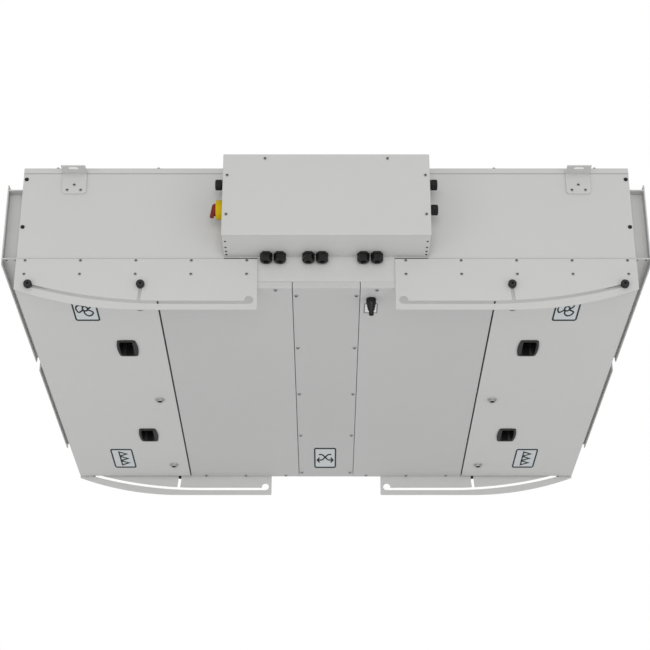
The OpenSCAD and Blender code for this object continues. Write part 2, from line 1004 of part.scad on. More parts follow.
// Pleated filter in its frame, against the inside of the end panel at the rear duct
module filter() {
    frame_w = duct_w + 2 * filter_lap;
    frame_h = duct_h + 2 * filter_lap;
    cloth_w = frame_w - 2 * filter_rim;
    cloth_h = frame_h - 2 * filter_rim;
    fold = cloth_w / (2 * filter_pleats);
    depth = filter_t - filter_cloth;
    near = [for (i = [0:2 * filter_pleats]) [i % 2 == 0 ? 0 : depth, i * fold - cloth_w / 2]];
    far = [for (i = [2 * filter_pleats:-1:0]) near[i] + [filter_cloth, 0]];
    translate([half_w - panel_t - filter_t, duct_step / 2, base_z + duct_base + duct_h / 2]) {
        color(galvanised)
            difference() {
                translate([0, -frame_w / 2, -frame_h / 2])
                    cube([filter_t, frame_w, frame_h]);
                translate([-over, -cloth_w / 2, -cloth_h / 2])
                    cube([filter_t + 2 * over, cloth_w, cloth_h]);
            }
        color(cloth)
            translate([0, 0, -cloth_h / 2])
                linear_extrude(cloth_h)
                    polygon(concat(near, far));
    }
}

module left_filter() {
    on_left(true)
        filter();
}

module right_filter() {
    filter();
}

// One backward-curved blade of a fan wheel, an arc set in a little from the mouth and the rim
module fan_blade() {
    reach = (fan_d - fan_mouth_d) / 2;
    intersection() {
        difference() {
            circle(d = fan_d - 2 * fan_sheet);
            circle(d = fan_mouth_d + 2 * fan_sheet);
        }
        translate([fan_mouth_d / 2, -1.5 * reach])
            difference() {
                circle(2 * reach);
                circle(2 * reach - fan_sheet);
                translate([-fan_d, -fan_d])
                    square([2 * fan_d, fan_d]);
            }
    }
}

// Fan hung from the top panel: motor, back plate, blades and mouth ring
module fan() {
    wheel_z = ceiling_z - fan_motor_h;
    translate([half_w - fan_inset, -duct_step / 2, 0]) {
        color(black)
            translate([0, 0, wheel_z])
                cylinder(d = fan_motor_d, h = fan_motor_h);
        color(galvanised) {
            translate([0, 0, wheel_z - fan_sheet])
                cylinder(d = fan_d, h = fan_sheet);
            translate([0, 0, wheel_z - 1.5 * fan_sheet - fan_blade_h])
                linear_extrude(fan_blade_h + fan_sheet)
                    for (i = [0:fan_blades - 1])
                        rotate(360 * i / fan_blades)
                            fan_blade();
            translate([0, 0, wheel_z - 2 * fan_sheet - fan_blade_h])
                linear_extrude(fan_sheet)
                    difference() {
                        circle(d = fan_d);
                        circle(d = fan_mouth_d);
                    }
        }
    }
}

module left_fan() {
    on_left(true)
        fan();
}

module right_fan() {
    fan();
}

// Plate heat exchanger: a block with wedge ends that stands between base and top panel
module heat_exchanger() {
    half_l = fixed_x - mullion_w - exchanger_clear;
    square_l = half_l - exchanger_wedge;
    half_exchanger = inner_d / 2 - exchanger_side;
    color(galvanised)
        translate([0, 0, base_z + pan_h])
            linear_extrude(casing_h - panel_t - pan_h)
                polygon([
                    [half_l, 0],
                    [square_l, half_exchanger],
                    [-square_l, half_exchanger],
                    [-half_l, 0],
                    [-square_l, -half_exchanger],
                    [square_l, -half_exchanger]
                ]);
}

top_panel();
front_panel();
rear_panel();
left_end_panel();
right_end_panel();
left_mullion();
right_mullion();
left_base_panel();
right_base_panel();
centre_panel();
left_door();
right_door();
left_door_handles();
right_door_handles();
left_door_locks();
right_door_locks();
left_door_pins();
right_door_pins();
left_front_guide_plate();
right_front_guide_plate();
left_rear_guide_plate();
right_rear_guide_plate();
left_front_duct_collar();
right_front_duct_collar();
left_rear_duct_collar();
right_rear_duct_collar();
left_front_hanger();
right_front_hanger();
left_rear_hanger();
right_rear_hanger();
control_box();
control_box_cover();
isolator_base();
isolator_handle();
lower_cable_glands();
side_cable_glands();
drain_stub();
panel_caps();
left_filter();
right_filter();
left_fan();
right_fan();
heat_exchanger();
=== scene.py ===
"""Looks of a ceiling-hung air handling unit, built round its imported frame."""
import logging
import math
from collections.abc import Iterable, Sequence
from dataclasses import dataclass, replace
from enum import Enum
from functools import cached_property

import bmesh
import bpy
from mathutils import Matrix, Vector


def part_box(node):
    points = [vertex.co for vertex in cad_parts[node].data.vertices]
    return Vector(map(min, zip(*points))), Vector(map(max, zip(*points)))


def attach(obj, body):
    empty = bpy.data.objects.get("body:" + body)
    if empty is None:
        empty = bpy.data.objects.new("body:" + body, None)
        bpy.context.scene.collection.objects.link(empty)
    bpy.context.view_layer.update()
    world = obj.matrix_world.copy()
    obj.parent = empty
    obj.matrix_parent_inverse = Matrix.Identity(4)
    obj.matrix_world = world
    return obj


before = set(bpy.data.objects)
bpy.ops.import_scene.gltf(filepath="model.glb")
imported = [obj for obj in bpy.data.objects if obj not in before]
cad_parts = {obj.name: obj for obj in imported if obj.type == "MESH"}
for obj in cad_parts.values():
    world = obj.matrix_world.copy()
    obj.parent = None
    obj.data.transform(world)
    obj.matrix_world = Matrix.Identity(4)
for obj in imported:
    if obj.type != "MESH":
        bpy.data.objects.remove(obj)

Colour = tuple[float, float, float]
Point = tuple[float, float]
Spot = tuple[float, float, float]
Sockets = dict[str, bpy.types.NodeSocket]

LOG = logging.getLogger("scene")
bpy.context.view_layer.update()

# Modelling values, in metres and radians
WELD_GAP = 0.00001
SEAT = 0.0004
FLAT_ANGLE = math.radians(0.5)
BEVEL_ANGLE = math.radians(40)
BEVEL_SEGMENTS = 2
SHARP_ANGLE = math.radians(32)
SMALL_SEGMENTS = 16


class Body(Enum):
    """Bodies of the frame that the added pieces ride on."""

    CASING = "casing"
    LEFT_DOOR = "left_door_leaf"
    RIGHT_DOOR = "right_door_leaf"


DOOR_BODIES = (Body.LEFT_DOOR, Body.RIGHT_DOOR)


class Slot(Enum):
    """Material slots of the record that the added pieces take."""

    PAINT = "casing_paint"
    BLACK = "black_plastic"
    STEEL = "lock_steel"


class Symbol(Enum):
    """Pictograms on the labels under the casing."""

    FAN = "fan"
    FILTER = "filter"
    EXCHANGER = "exchanger"
    DROP = "drop"


class Wiring:
    """Adds nodes to one node tree and links them."""

    def __init__(self, tree: bpy.types.NodeTree) -> None:
        """Keeps the tree that the nodes go into."""
        self.tree = tree

    def add(self, kind: str, inputs: dict[str, object] | None = None, **settings: object) -> bpy.types.Node:
        """Adds one node.

        Args:
            kind: Type name of the node.
            inputs: Values of the node's input sockets by name or number, or output sockets to link to them.
            settings: Properties of the node.

        Returns:
            The new node.
        """
        node = self.tree.nodes.new(kind)
        for name, value in settings.items():
            setattr(node, name, value)
        for name, value in (inputs or {}).items():
            socket = node.inputs[int(name)] if name.isdigit() else node.inputs[name]
            if isinstance(value, bpy.types.NodeSocket):
                self.tree.links.new(value, socket)
            else:
                socket.default_value = value
        return node

    def mix(self, factor: object, first: object, second: object) -> bpy.types.NodeSocket:
        """Mixes two colours.

        Args:
            factor: Share of the second colour, a number or a socket.
            first: First colour, four numbers or a socket.
            second: Second colour, four numbers or a socket.

        Returns:
            The socket with the mixed colour.
        """
        inputs = {"0": factor, "6": first, "7": second}
        return self.add("ShaderNodeMix", inputs, data_type="RGBA").outputs[2]

    def maths(self, operation: str, first: object, second: object = 0.0) -> bpy.types.NodeSocket:
        """Adds one sum on numbers.

        Args:
            operation: Name of the sum.
            first: First number or socket.
            second: Second number or socket.

        Returns:
            The socket with the result.
        """
        return self.add("ShaderNodeMath", {"0": first, "1": second}, operation=operation).outputs[0]

    def spread(self, value: object, low: float, high: float) -> bpy.types.NodeSocket:
        """Maps a value from 0..1 to a range.

        Args:
            value: Socket with the value.
            low: Result at 0.
            high: Result at 1.

        Returns:
            The socket with the result.
        """
        return self.add("ShaderNodeMapRange", {"Value": value, "To Min": low, "To Max": high}).outputs[0]

    def place(self) -> bpy.types.NodeSocket:
        """Returns the socket with a point's place in its object."""
        return self.add("ShaderNodeTexCoord").outputs["Object"]

    def noise(self, scale: object, detail: float) -> bpy.types.NodeSocket:
        """Adds noise over the object.

        Args:
            scale: Fineness of the noise, a number or a socket.
            detail: Number of finer layers.

        Returns:
            The socket with the noise.
        """
        inputs = {"Vector": self.place(), "Scale": scale, "Detail": detail}
        return self.add("ShaderNodeTexNoise", inputs).outputs[0]


class EffectGroups:
    """Shader node groups that the finishes share, each built at its first use."""

    @staticmethod
    def _start(
        name: str, inputs: dict[str, float], outputs: Sequence[str]
    ) -> tuple[Wiring, Sockets, Sockets]:
        """Makes an empty group with number sockets.

        Args:
            name: Name of the group.
            inputs: Names and starting values of the input sockets.
            outputs: Names of the output sockets.

        Returns:
            The wiring of the group, its input sockets and its output sockets.
        """
        tree = bpy.data.node_groups.new(name, "ShaderNodeTree")
        for label, value in inputs.items():
            socket = tree.interface.new_socket(name=label, in_out="INPUT", socket_type="NodeSocketFloat")
            socket.default_value = value
        for label in outputs:
            tree.interface.new_socket(name=label, in_out="OUTPUT", socket_type="NodeSocketFloat")
        wiring = Wiring(tree)
        entry = wiring.add("NodeGroupInput")
        leave = wiring.add("NodeGroupOutput")
        return wiring, {k: entry.outputs[k] for k in inputs}, {k: leave.inputs[k] for k in outputs}

    @cached_property
    def grain(self) -> bpy.types.NodeTree:
        """Makes the fine grain, broad clouds and gloss patches of a coated or moulded surface.

        Returns:
            The group.
        """
        wiring, entry, leave = self._start(
            "surface_grain", {"Grain": 420.0, "Clouds": 2.2, "Patches": 24.0}, ("Height", "Cloud", "Gloss")
        )
        layers = (("Grain", 3.0, "Height"), ("Clouds", 4.0, "Cloud"), ("Patches", 2.0, "Gloss"))
        for scale, detail, result in layers:
            wiring.tree.links.new(wiring.noise(entry[scale], detail), leave[result])
        return wiring.tree

    @cached_property
    def corner_dust_and_shade(self) -> bpy.types.NodeTree:
        """Makes the soft mask of inner corners and seams from ambient occlusion, for dust and for painted
        shade there.

        Returns:
            The group.
        """
        wiring, entry, leave = self._start(
            "corner_dust_and_shade", {"Reach": 0.012, "Amount": 0.5, "Patches": 30.0}, ("Mask",)
        )
        thin, thick = 0.5, 1.2
        # Ambient occlusion darkens corners where shade falls: painted shade, mixed with patches of dust.
        shade = wiring.add("ShaderNodeAmbientOcclusion", {"Distance": entry["Reach"]}, samples=4)
        closed = wiring.maths("SUBTRACT", 1.0, shade.outputs["AO"])
        patches = wiring.spread(wiring.noise(entry["Patches"], 3.0), thin, thick)
        dust_and_shade = wiring.maths("MULTIPLY", closed, patches)
        wiring.tree.links.new(wiring.maths("MULTIPLY", dust_and_shade, entry["Amount"]), leave["Mask"])
        return wiring.tree

    @cached_property
    def spangle(self) -> bpy.types.NodeTree:
        """Makes the crystal pattern of zinc-coated sheet.

        Returns:
            The group.
        """
        wiring, entry, leave = self._start("zinc_spangle", {"Crystals": 90.0}, ("Tone", "Gloss"))
        cells = wiring.add("ShaderNodeTexVoronoi", {"Vector": wiring.place(), "Scale": entry["Crystals"]})
        split = wiring.add("ShaderNodeSeparateColor", {"Color": cells.outputs["Color"]})
        wiring.tree.links.new(split.outputs[0], leave["Tone"])
        wiring.tree.links.new(split.outputs[1], leave["Gloss"])
        return wiring.tree

    @cached_property
    def stripes(self) -> bpy.types.NodeTree:
        """Makes the edges of stacked plates, as a value that rises and falls with the height.

        Returns:
            The group.
        """
        wiring, entry, leave = self._start("plate_stripes", {"Pitch": 0.004}, ("Height",))
        split = wiring.add("ShaderNodeSeparateXYZ", {"Vector": wiring.place()})
        turns = wiring.maths("DIVIDE", split.outputs[2], entry["Pitch"])
        wiring.tree.links.new(wiring.maths("PINGPONG", turns, 1.0), leave["Height"])
        return wiring.tree


GROUPS = EffectGroups()


def rgba(colour: Colour) -> tuple[float, float, float, float]:
    """Returns a colour with full alpha."""
    return (*colour, 1.0)


def grey(level: float) -> Colour:
    """Returns an even grey."""
    return (level, level, level)


@dataclass(frozen=True)
class Finish:
    """A surface finish with a fine grain, broad clouds and gloss patches, and where asked dust with painted
    shade in its corners.
    """

    name: str
    colour: Colour
    shade: Colour
    roughness: tuple[float, float] = (0.4, 0.5)
    grain: float = 420.0
    bump: float = 0.1
    metallic: float = 0.0
    dust_and_shade: float = 0.0
    specular: float = 0.5
    reach: float = 0.012
    dust_and_shade_darkness: float = 0.45
    bump_depth: float = 0.0004

    def material(self) -> bpy.types.Material:
        """Returns the finish's material, built at its first use."""
        found = bpy.data.materials.get(self.name)
        return found or self._build()

    def _build(self) -> bpy.types.Material:
        """Builds the material.

        Returns:
            The new material.
        """
        material = bpy.data.materials.new(self.name)
        material.use_nodes = True
        material.node_tree.nodes.clear()
        wiring = Wiring(material.node_tree)
        inputs = {"Metallic": self.metallic, "Specular IOR Level": self.specular, **self.wire(wiring)}
        surface = wiring.add("ShaderNodeBsdfPrincipled", inputs)
        wiring.add("ShaderNodeOutputMaterial", {"Surface": surface.outputs[0]})
        return material

    def wire(self, wiring: Wiring) -> Sockets:
        """Makes colour, roughness and normal.

        Args:
            wiring: Wiring of the material.

        Returns:
            The sockets for the surface, by the names of its inputs.
        """
        grain = wiring.add("ShaderNodeGroup", {"Grain": self.grain}, node_tree=GROUPS.grain)
        colour = wiring.mix(grain.outputs["Cloud"], rgba(self.colour), rgba(self.shade))
        # Darkens inner corners and seams by ambient occlusion: dust, and painted shade where the corners lie
        # in shade.
        if self.dust_and_shade > 0:
            amounts = {"Amount": self.dust_and_shade, "Reach": self.reach}
            dust_and_shade = wiring.add("ShaderNodeGroup", amounts, node_tree=GROUPS.corner_dust_and_shade)
            low = tuple(self.dust_and_shade_darkness * c for c in self.shade)
            colour = wiring.mix(dust_and_shade.outputs["Mask"], colour, rgba(low))
        relief = {"Strength": self.bump, "Distance": self.bump_depth, "Height": grain.outputs["Height"]}
        return {
            "Base Color": self.tint(wiring, colour),
            "Roughness": wiring.spread(grain.outputs["Gloss"], *self.roughness),
            "Normal": wiring.add("ShaderNodeBump", relief).outputs[0],
        }

    def tint(self, wiring: Wiring, colour: bpy.types.NodeSocket) -> bpy.types.NodeSocket:
        """Returns the colour as it is; a subclass may change it over the surface."""
        return colour


@dataclass(frozen=True)
class PaintedDoor(Finish):
    """Painted pan, with the core's inner edge above it painted near black as painted shade in the door gaps.
    """

    gap_shade: Colour = (0.02, 0.02, 0.021)
    gap_shade_z: float = 0.0
    gap_shade_x: float = 0.43

    def tint(self, wiring: Wiring, colour: bpy.types.NodeSocket) -> bpy.types.NodeSocket:
        """Paints the core's inner edge above the pan near black, as painted shade in the door gaps.

        Args:
            wiring: Wiring of the material.
            colour: Colour of the paint.

        Returns:
            The socket with the colour of paint and painted gap shade.
        """
        split = wiring.add("ShaderNodeSeparateXYZ", {"Vector": wiring.place()})
        above = wiring.maths("GREATER_THAN", split.outputs[2], self.gap_shade_z)
        inside = wiring.maths("LESS_THAN", wiring.maths("ABSOLUTE", split.outputs[0]), self.gap_shade_x)
        return wiring.mix(wiring.maths("MULTIPLY", above, inside), colour, rgba(self.gap_shade))


@dataclass(frozen=True)
class ZincSheet(Finish):
    """Zinc-coated sheet with a crystal pattern."""

    crystals: float = 90.0

    def wire(self, wiring: Wiring) -> Sockets:
        """Makes colour and roughness from the crystal pattern.

        Args:
            wiring: Wiring of the material.

        Returns:
            The sockets for the surface, by the names of its inputs.
        """
        zinc = wiring.add("ShaderNodeGroup", {"Crystals": self.crystals}, node_tree=GROUPS.spangle)
        return {
            "Base Color": wiring.mix(zinc.outputs["Tone"], rgba(self.colour), rgba(self.shade)),
            "Roughness": wiring.spread(zinc.outputs["Gloss"], *self.roughness),
        }


@dataclass(frozen=True)
class PlateStack(Finish):
    """Edges of the stacked plates of a heat exchanger, with painted shade in the gaps between them."""

    pitch: float = 0.004
    bump_depth: float = 0.002

    def wire(self, wiring: Wiring) -> Sockets:
        """Makes colour, roughness and normal from the plates' edges.

        Args:
            wiring: Wiring of the material.

        Returns:
            The sockets for the surface, by the names of its inputs.
        """
        stripes = wiring.add("ShaderNodeGroup", {"Pitch": self.pitch}, node_tree=GROUPS.stripes)
        height = stripes.outputs["Height"]
        relief = {"Strength": self.bump, "Distance": self.bump_depth, "Height": height}
        # The stripes run from the shade colour, painted shade in the gaps between the plates, to the metal
        # colour.
        return {
            "Base Color": wiring.mix(height, rgba(self.shade), rgba(self.colour)),
            "Roughness": wiring.spread(height, *self.roughness),
            "Normal": wiring.add("ShaderNodeBump", relief).outputs[0],
        }


# The coats darken their corners by ambient occlusion, painted shade along with dust; base, strip and doors
# reach 50 mm, so their undersides behind the guide plates are painted darker as shade.
COAT = {"roughness": (0.42, 0.56), "grain": 520.0, "bump": 0.10, "dust_and_shade": 0.35}
PAINT = Finish("powder_coat", (0.512, 0.512, 0.502), (0.488, 0.488, 0.479), reach=0.012, **COAT)
BASE_PAINT = Finish("base_coat", (0.482, 0.482, 0.479), (0.457, 0.457, 0.455), reach=0.05, **COAT)
STRIP_PAINT = Finish("strip_coat", (0.47, 0.47, 0.467), (0.446, 0.446, 0.444), reach=0.05, **COAT)
DOOR_PAINT = PaintedDoor("door_coat", (0.532, 0.532, 0.527), (0.507, 0.507, 0.502), reach=0.05, **COAT)
# Near black for the mullions seen through the door gaps and the strip under the control box: painted shade
# in those gaps.
GAP_SHADE = Finish("painted_gap_shade", (0.02, 0.02, 0.021), (0.014, 0.014, 0.015), (0.8, 0.95), 1200.0, 0.5)
PLASTIC = Finish(
    "moulded_black", (0.007, 0.007, 0.0073), (0.004, 0.004, 0.0043), (0.38, 0.52), 900.0, 0.16, specular=0.3
)
KNOB = Finish("knob_black", grey(0.009), grey(0.006), (0.42, 0.55), 700.0, 0.2, specular=0.3)
INLAY = Finish("knob_inlay", grey(0.02), grey(0.015), (0.4, 0.5), 700.0, 0.1)
# Grey for the beads that paint the shadow lines under the lid and along the guide plates' upper edges.
SHADOW_BEAD = Finish("painted_shadow_bead", (0.25, 0.25, 0.247), (0.21, 0.21, 0.208), (0.55, 0.7), 700.0, 0.3)
STEEL = Finish("lock_zinc", grey(0.36), grey(0.3), (0.34, 0.46), 900.0, 0.06, metallic=0.35)
RIVET = Finish("rivet_steel", grey(0.27), grey(0.2), (0.35, 0.5), 900.0, 0.05, metallic=0.6)
# Near black for the sunk holes of rivets and screws, where it is painted shade, and for the heads of the
# box's rivets.
DARK = Finish("dark_heads_and_recess_shade", grey(0.012), grey(0.02), (0.6, 0.75), 900.0, 0.05)
# Matte near black for the floors of the knobs' sockets and the holes of the box's rivets, where it is
# painted shade, and for the lock cores, whose black also paints their sockets' shade.
CORE = Finish("black_cores_and_socket_shade", grey(0.006), grey(0.003), (0.7, 0.85), 900.0, 0.1, specular=0.1)
YELLOW = Finish(
    "yellow_moulding", (0.548, 0.378, 0.002), (0.486, 0.335, 0.002), (0.45, 0.55), 900.0, 0.06, specular=0.12
)
RED = Finish(
    "red_moulding", (0.212, 0.031, 0.019), (0.162, 0.024, 0.015), (0.45, 0.55), 900.0, 0.06, specular=0.1
)
# The cloth darkens its hollows by ambient occlusion: painted shade along with dust.
CLOTH = Finish("pleated_cloth", (0.66, 0.66, 0.62), (0.52, 0.52, 0.49), (0.85, 0.95), 1400.0, 0.6, dust_and_shade=0.3)
ZINC = ZincSheet("zinc_sheet", (0.5, 0.52, 0.53), (0.36, 0.38, 0.4), (0.3, 0.48), metallic=0.9)
PLATES = PlateStack(
    "exchanger_plates", (0.58, 0.6, 0.61), (0.16, 0.17, 0.18), (0.3, 0.5), bump=0.6, metallic=0.7
)
FILM = Finish("label_film", (0.535, 0.562, 0.575), (0.515, 0.545, 0.56), (0.3, 0.4), 600.0, 0.03)
WHITE_FILM = Finish("white_film", (0.66, 0.665, 0.67), (0.62, 0.625, 0.63), (0.3, 0.4), 600.0, 0.03)
PRINT = Finish(
    "label_print", (0.008, 0.017, 0.021), (0.006, 0.013, 0.016), (0.45, 0.55), 900.0, 0.03, specular=0.2
)
GREY_PRINT = Finish("grey_print", (0.1, 0.105, 0.11), (0.08, 0.085, 0.09), (0.35, 0.45), 900.0, 0.03)
FLOOR = Finish("studio_floor", grey(0.88), grey(0.85), (0.7, 0.8), 40.0, 0.02)


@dataclass(frozen=True)
class Ring:
    """One ring of a turned solid: its radius, height, number of flat sides and finish."""

    radius: float
    height: float
    sides: int = 0
    finish: int = 0

    def reach(self, angle: float) -> float:
        """Finds the ring's radius at an angle.

        Args:
            angle: Angle about the ring's middle, in radians.

        Returns:
            The radius there.
        """
        if not self.sides:
            return self.radius
        step = 2 * math.pi / self.sides
        return self.radius * math.cos(step / 2) / math.cos(angle % step - step / 2)


class Sketch:
    """Collects closed solids in one mesh."""

    def __init__(self) -> None:
        """Starts with an empty mesh."""
        self.mesh = bmesh.new()

    def turn(self, rings: Sequence[Ring], place: Matrix, segments: int = 24, hollow: bool = False) -> None:
        """Adds a solid turned about its own Z.

        Args:
            rings: Rings from the seat to the end.
            place: Where the solid goes.
            segments: Number of points in each ring.
            hollow: Whether the last ring joins the first, round a hole, and no face closes the ends.
        """
        loops = []
        for ring in rings:
            loop = []
            for angle in (2 * math.pi * i / segments for i in range(segments)):
                r = ring.reach(angle)
                corner = Vector((r * math.cos(angle), r * math.sin(angle), ring.height))
                loop.append(self.mesh.verts.new(place @ corner))
            loops.append(loop)
        steps = list(zip(loops, loops[1:], rings[1:]))
        if hollow:
            steps.append((loops[-1], loops[0], rings[0]))
        else:
            self.mesh.faces.new(loops[0][::-1]).material_index = rings[0].finish
            self.mesh.faces.new(loops[-1]).material_index = rings[-1].finish
        for low, high, ring in steps:
            for i in range(segments):
                j = (i + 1) % segments
                self.mesh.faces.new((low[i], low[j], high[j], high[i])).material_index = ring.finish

    def prism(
        self, outline: Sequence[Point], low: float, high: float, place: Matrix, finish: int = 0
    ) -> None:
        """Adds a straight-sided solid.

        Args:
            outline: Corners in order, counter-clockwise.
            low: Height of the lower face.
            high: Height of the upper face.
            place: Where the solid goes.
            finish: Index of its finish.
        """
        under = [self.mesh.verts.new(place @ Vector((x, y, low))) for x, y in outline]
        above = [self.mesh.verts.new(place @ Vector((x, y, high))) for x, y in outline]
        faces = [self.mesh.faces.new(under[::-1]), self.mesh.faces.new(above)]
        for i in range(len(outline)):
            j = (i + 1) % len(outline)
            faces.append(self.mesh.faces.new((under[i], under[j], above[j], above[i])))
        for face in faces:
            face.material_index = finish

    def band(
        self, outer: Sequence[Point], inner: Sequence[Point], low: float, high: float, place: Matrix,
        finish: int = 0,
    ) -> None:
        """Adds a closed band between two outlines with the same number of corners.

        Args:
            outer: Outer corners, counter-clockwise.
            inner: Inner corners, counter-clockwise.
            low: Height of the lower face.
            high: Height of the upper face.
            place: Where the band goes.
            finish: Index of its finish.
        """
        rows = [
            [self.mesh.verts.new(place @ Vector((x, y, z))) for x, y in line]
            for line, z in ((outer, low), (outer, high), (inner, high), (inner, low))
        ]
        count = len(outer)
        for near, far in zip(rows, rows[1:] + rows[:1]):
            for i in range(count):
                j = (i + 1) % count
                self.mesh.faces.new((near[i], near[j], far[j], far[i])).material_index = finish

    def stroke(
        self, points: Sequence[Point], width: float, low: float, high: float, place: Matrix, finish: int = 0
    ) -> None:
        """Adds a line of even width with mitred bends.

        Args:
            points: Points of the line's middle.
            width: Width of the line.
            low: Height of the lower face.
            high: Height of the upper face.
            place: Where the line goes.
            finish: Index of its finish.
        """
        line = [Vector(p) for p in points]
        mitre_limit = 0.4
        left, right = [], []
        for i, point in enumerate(line):
            before = (point - line[i - 1]).normalized() if i else (line[1] - point).normalized()
            after = (line[i + 1] - point).normalized() if i + 1 < len(line) else before
            along = (before + after).normalized()
            across = Vector((-along.y, along.x))
            reach = width / 2 / max(across.dot(Vector((-after.y, after.x))), mitre_limit)
            left.append(tuple(point + across * reach))
            right.append(tuple(point - across * reach))
        self.prism(right + left[::-1], low, high, place, finish)

    def to_scene(self, name: str, finishes: Iterable[Finish]) -> bpy.types.Object:
        """Turns the mesh into an object of the scene.

        Args:
            name: Name of the object.
            finishes: Finishes in the order of their indices.

        Returns:
            The new object.
        """
        bmesh.ops.recalc_face_normals(self.mesh, faces=self.mesh.faces)
        data = bpy.data.meshes.new(name)
        self.mesh.to_mesh(data)
        self.mesh.free()
        for finish in finishes:
            data.materials.append(finish.material())
        data.polygons.foreach_set("use_smooth", [True] * len(data.polygons))
        data.set_sharp_from_angle(angle=SHARP_ANGLE)
        made = bpy.data.objects.new(name, data)
        bpy.context.scene.collection.objects.link(made)
        return made

    def to_piece(self, name: str, finishes: Iterable[Finish], body: Body) -> None:
        """Turns the mesh into a piece that rides on a body.

        Args:
            name: Name of the piece.
            finishes: Finishes in the order of their indices.
            body: Body that the piece moves with.
        """
        piece = self.to_scene(name, finishes)
        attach(piece, body.value)
        LOG.info("piece %s: %d faces", name, len(piece.data.polygons))


@dataclass(frozen=True)
class Fastener:
    """Head of a rivet or screw with a sunk hole, whose walls take the second finish as painted shade; its
    rings are shares of the radii and of the height.
    """

    radius: float
    height: float
    hole: float
    head_rings: tuple[Point, ...]
    hole_rings: tuple[Point, ...]
    lip: float
    sides: int = 0

    def rings(self) -> list[Ring]:
        """Makes the rings from the seat to the hole's floor.

        Returns:
            The rings in order.
        """
        r, h, hole = self.radius, self.height, self.hole
        head = [Ring(share * r, level * h) for share, level in self.head_rings]
        sunk = [Ring(share * hole, level * h, self.sides, 1) for share, level in self.hole_rings]
        return [Ring(r, -SEAT), *head, Ring(self.lip * hole, h), *sunk]


BLIND_RIVET = Fastener(
    0.0038, 0.0014, 0.0016, ((1.0, 0.25), (0.9, 0.62), (0.72, 0.88)), ((1.0, 0.9), (0.8, 0.1)), 1.15
)
PAN_SCREW = Fastener(
    0.0044, 0.0026, 0.0022, ((1.0, 0.4), (0.92, 0.75), (0.75, 1.0)), ((1.0, 0.95), (0.95, 0.2)), 1.1, 6
)


def facing(position: Sequence[float], normal: Sequence[float], up: Sequence[float]) -> Matrix:
    """Returns the matrix that puts local Z along a normal and local Y along up.

    Args:
        position: Place of the local origin.
        normal: Direction of local Z.
        up: Direction of local Y.

    Returns:
        The matrix.
    """
    z = Vector(normal).normalized()
    y = Vector(up).normalized()
    x = y.cross(z)
    turn = Matrix((x, y, z)).transposed().to_4x4()
    return Matrix.Translation(Vector(position)) @ turn


def from_below(spot: Sequence[float]) -> Matrix:
    """Returns the place of a piece under a surface, with its Y towards the front."""
    return facing(spot, (0, 0, -1), (0, -1, 0))


def on_wall(spot: Sequence[float], outward: int) -> Matrix:
    """Returns the place of a piece on an upright surface that faces the front or the rear."""
    return facing(spot, (0, outward, 0), (0, 0, 1))


def pair(piece: str) -> tuple[str, str]:
    """Returns the names of a piece's left and right nodes."""
    return (f"left_{piece}", f"right_{piece}")


def corners(piece: str) -> tuple[str, ...]:
    """Returns the names of a piece's four nodes, the front ones first."""
    return (*pair(f"front_{piece}"), *pair(f"rear_{piece}"))


@dataclass
class SubAssembly:
    """A group of CAD nodes with one finish, and the pieces added to them."""

    nodes: tuple[str, ...] = ()
    finish: Finish = PAINT
    bevel: float = 0.0008

    def dress(self) -> None:
        """Gives the CAD nodes their finish and soft edges."""
        for name in self.nodes:
            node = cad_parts[name]
            if not node.material_slots:
                node.data.materials.append(None)
            for slot in node.material_slots:
                slot.material = self.finish.material()
            if self.bevel > 0:
                self.soften(node)
            LOG.info("node %s: %s", name, self.finish.name)

    def soften(self, node: bpy.types.Object) -> None:
        """Rounds a node's edges.

        Args:
            node: The CAD node.
        """
        weld = node.modifiers.new("weld", "WELD")
        weld.merge_threshold = WELD_GAP
        flat = node.modifiers.new("flat_faces", "DECIMATE")
        flat.decimate_type = "DISSOLVE"
        flat.angle_limit = FLAT_ANGLE
        soft = node.modifiers.new("soft_edges", "BEVEL")
        soft.limit_method = "ANGLE"
        soft.angle_limit = BEVEL_ANGLE
        soft.width = self.bevel
        soft.segments = BEVEL_SEGMENTS
        soft.harden_normals = True

    def build(self) -> None:
        """Adds the group's pieces."""


